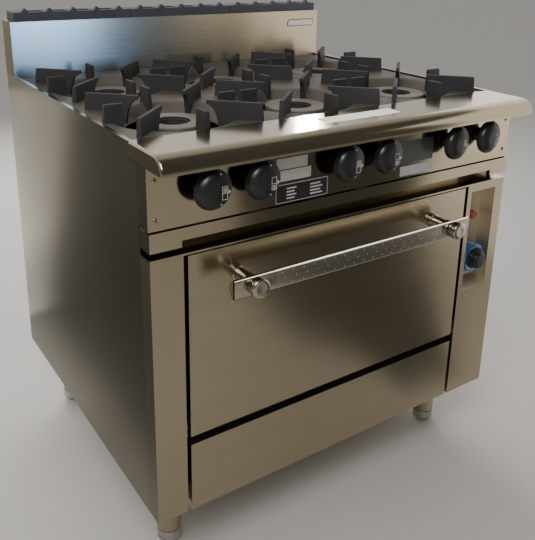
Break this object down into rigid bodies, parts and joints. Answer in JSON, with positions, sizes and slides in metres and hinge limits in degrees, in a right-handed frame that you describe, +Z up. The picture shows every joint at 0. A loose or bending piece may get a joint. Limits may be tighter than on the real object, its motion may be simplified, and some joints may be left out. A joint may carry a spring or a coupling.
{
  "type": "commercial gas range",
  "caption": "Stainless gas range with open burners in lift-off cast hob sections, knobs under a rounded ledge, a drop-down oven door, a control column and short legs.",
  "frame": {"origin": "on the floor under the middle of the range's bounding box", "axes": "+X to the right as seen by the cook, +Y from the oven door to the wall, +Z up"},
  "size_m": [0.9, 0.915, 1.0519],
  "materials": {
    "stainless": "brushed, satin",
    "polished_steel": "polished",
    "rack_wire": "bright plated wire",
    "cast_iron_hob": "bare, heat-tinted, matt",
    "cast_iron_dark": "painted, matt",
    "knob_black": "satin moulded",
    "bezel_blue": "glossy film",
    "button_red": "glossy",
    "brass_gas": "machined",
    "insulation": "mineral wool",
    "seal": "braided seal"
  },
  "bodies": {
    "root": {"left_side_panel": "stainless", "right_side_panel": "stainless", "rear_panel": "stainless", "base_pan": "stainless", "left_front_post": "stainless", "control_column": "stainless", "column_recess": "stainless", "oven_top_rail": "stainless", "kick_panel": "stainless", "control_panel": "stainless", "front_ledge": "stainless", "splashback_panel": "stainless", "flue_box": "stainless", "flue_caps": "cast_iron_dark", "oven_liner": "stainless", "oven_insulation": "insulation", "oven_sole_plate": "cast_iron_dark", "rack_guides": "rack_wire", "oven_burner": "cast_iron_dark", "gas_manifold": "brass_gas", "burner_valves": "brass_gas", "thermostat_valve": "brass_gas", "burner_heads": "cast_iron_hob", "burner_tubes": "cast_iron_dark", "panel_screws": "polished_steel", "leg_tubes": "stainless", "hinge_brackets": "stainless", "thermostat_bezel": "bezel_blue", "hob_rails": "stainless"},
    "door": {"door_outer_skin": "stainless", "door_inner_pan": "stainless", "door_insulation": "insulation", "door_seal": "seal", "handle_bar": "polished_steel", "handle_caps": "polished_steel", "handle_studs": "polished_steel", "hinge_arms": "stainless"},
    "tap_1": {"valve_spindle_1": "polished_steel"},
    "knob_1": {"burner_knob_1": "knob_black"},
    "tap_2": {"valve_spindle_2": "polished_steel"},
    "knob_2": {"burner_knob_2": "knob_black"},
    "tap_3": {"valve_spindle_3": "polished_steel"},
    "knob_3": {"burner_knob_3": "knob_black"},
    "tap_4": {"valve_spindle_4": "polished_steel"},
    "knob_4": {"burner_knob_4": "knob_black"},
    "tap_5": {"valve_spindle_5": "polished_steel"},
    "knob_5": {"burner_knob_5": "knob_black"},
    "tap_6": {"valve_spindle_6": "polished_steel"},
    "knob_6": {"burner_knob_6": "knob_black"},
    "thermostat_tap": {"thermostat_spindle": "polished_steel"},
    "thermostat_dial": {"thermostat_knob": "knob_black"},
    "igniter": {"igniter_button": "button_red"},
    "rack_upper": {"oven_rack_upper": "rack_wire"},
    "rack_lower": {"oven_rack_lower": "rack_wire"},
    "casting_left": {"hob_casting_left": "cast_iron_hob"},
    "casting_centre": {"hob_casting_centre": "cast_iron_hob"},
    "casting_right": {"hob_casting_right": "cast_iron_hob"},
    "tray_left": {"spill_tray_left": "stainless"},
    "tray_right": {"spill_tray_right": "stainless"},
    "feet": {"levelling_feet": "polished_steel"}
  },
  "joints": [
    {"name": "door_hinge", "type": "hinge", "parent": "root", "child": "door", "pos_m": [0, -0.3555, 0.336], "axis": [1, 0, 0], "range_deg": [0, 90], "stiffness_Nm_per_rad": 8, "springref_deg": -20.05},
    {"name": "knob_1_turn", "type": "hinge", "parent": "root", "child": "tap_1", "pos_m": [-0.344, -0.3755, 0.819], "axis": [0, -1, 0], "range_deg": [0, 180]},
    {"name": "knob_1_push", "type": "slide", "parent": "tap_1", "child": "knob_1", "axis": [0, 1, 0], "range_m": [0, 0.003], "stiffness_N_per_m": 800, "springref_m": -0.001},
    {"name": "knob_2_turn", "type": "hinge", "parent": "root", "child": "tap_2", "pos_m": [-0.244, -0.3755, 0.819], "axis": [0, -1, 0], "range_deg": [0, 180]},
    {"name": "knob_2_push", "type": "slide", "parent": "tap_2", "child": "knob_2", "axis": [0, 1, 0], "range_m": [0, 0.003], "stiffness_N_per_m": 800, "springref_m": -0.001},
    {"name": "knob_3_turn", "type": "hinge", "parent": "root", "child": "tap_3", "pos_m": [-0.05, -0.3755, 0.819], "axis": [0, -1, 0], "range_deg": [0, 180]},
    {"name": "knob_3_push", "type": "slide", "parent": "tap_3", "child": "knob_3", "axis": [0, 1, 0], "range_m": [0, 0.003], "stiffness_N_per_m": 800, "springref_m": -0.001},
    {"name": "knob_4_turn", "type": "hinge", "parent": "root", "child": "tap_4", "pos_m": [0.05, -0.3755, 0.819], "axis": [0, -1, 0], "range_deg": [0, 180]},
    {"name": "knob_4_push", "type": "slide", "parent": "tap_4", "child": "knob_4", "axis": [0, 1, 0], "range_m": [0, 0.003], "stiffness_N_per_m": 800, "springref_m": -0.001},
    {"name": "knob_5_turn", "type": "hinge", "parent": "root", "child": "tap_5", "pos_m": [0.244, -0.3755, 0.819], "axis": [0, -1, 0], "range_deg": [0, 180]},
    {"name": "knob_5_push", "type": "slide", "parent": "tap_5", "child": "knob_5", "axis": [0, 1, 0], "range_m": [0, 0.003], "stiffness_N_per_m": 800, "springref_m": -0.001},
    {"name": "knob_6_turn", "type": "hinge", "parent": "root", "child": "tap_6", "pos_m": [0.344, -0.3755, 0.819], "axis": [0, -1, 0], "range_deg": [0, 180]},
    {"name": "knob_6_push", "type": "slide", "parent": "tap_6", "child": "knob_6", "axis": [0, 1, 0], "range_m": [0, 0.003], "stiffness_N_per_m": 800, "springref_m": -0.001},
    {"name": "thermostat_turn", "type": "hinge", "parent": "root", "child": "thermostat_tap", "pos_m": [0.3825, -0.3755, 0.509], "axis": [0, -1, 0], "range_deg": [0, 270]},
    {"name": "thermostat_push", "type": "slide", "parent": "thermostat_tap", "child": "thermostat_dial", "axis": [0, 1, 0], "range_m": [0, 0.003], "stiffness_N_per_m": 800, "springref_m": -0.001},
    {"name": "igniter_push", "type": "slide", "parent": "root", "child": "igniter", "axis": [0, 1, 0], "range_m": [0, 0.004], "stiffness_N_per_m": 600, "springref_m": -0.001},
    {"name": "rack_upper_slide", "type": "slide", "parent": "root", "child": "rack_upper", "axis": [0, -1, 0], "range_m": [0, 0.028]},
    {"name": "rack_lower_slide", "type": "slide", "parent": "root", "child": "rack_lower", "axis": [0, -1, 0], "range_m": [0, 0.028]},
    {"name": "casting_left_lift", "type": "slide", "parent": "root", "child": "casting_left", "axis": [0, 0, 1], "range_m": [0, 0.12]},
    {"name": "casting_centre_lift", "type": "slide", "parent": "root", "child": "casting_centre", "axis": [0, 0, 1], "range_m": [0, 0.12]},
    {"name": "casting_right_lift", "type": "slide", "parent": "root", "child": "casting_right", "axis": [0, 0, 1], "range_m": [0, 0.12]},
    {"name": "tray_left_slide", "type": "slide", "parent": "root", "child": "tray_left", "axis": [0, -1, 0], "range_m": [0, 0.35]},
    {"name": "tray_right_slide", "type": "slide", "parent": "root", "child": "tray_right", "axis": [0, -1, 0], "range_m": [0, 0.35]},
    {"name": "feet_extend", "type": "slide", "parent": "root", "child": "feet", "axis": [0, 0, 1], "range_m": [-0.025, 0]}
  ]
}
